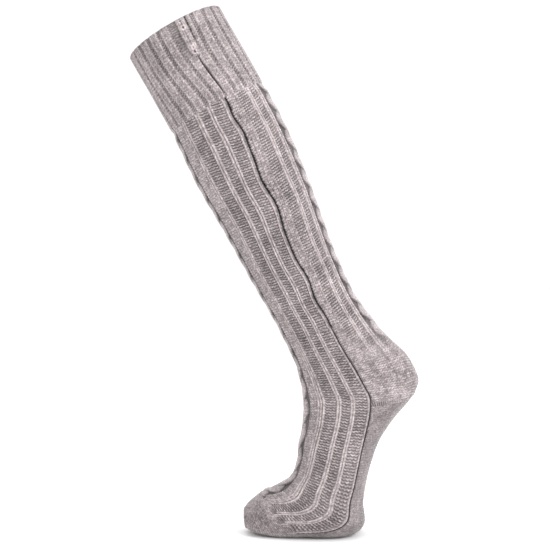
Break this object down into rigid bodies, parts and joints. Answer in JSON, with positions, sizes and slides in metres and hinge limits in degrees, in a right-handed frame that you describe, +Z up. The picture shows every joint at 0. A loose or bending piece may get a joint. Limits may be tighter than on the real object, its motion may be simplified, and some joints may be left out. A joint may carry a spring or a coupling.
{
  "type": "knee sock",
  "caption": "A wool knee sock held as if worn on tiptoe: thick ribbed cuff with a slit, ribbed leg and instep with cables in front and behind, and a plain heel, sole and toe",
  "frame": {"origin": "the middle of the opening at the top of the cuff, where a leg goes in", "axes": "+Z up, toes towards -X, the cuff's slit on the -Y side; the leg leans 27.6 degrees from upright towards -X at its top"},
  "size_m": [0.2724, 0.0954, 0.4982],
  "materials": {
    "rib_knit": "heathered grey wool, thick rib",
    "cable_knit": "heathered grey wool, ribs and cables",
    "plain_knit": "heathered grey wool, plain knit"
  },
  "bodies": {
    "root": {"cuff": "rib_knit", "cuff_strip": "rib_knit", "leg": "cable_knit", "instep": "cable_knit", "heel": "plain_knit", "sole": "plain_knit", "toe": "plain_knit"}
  },
  "joints": []
}
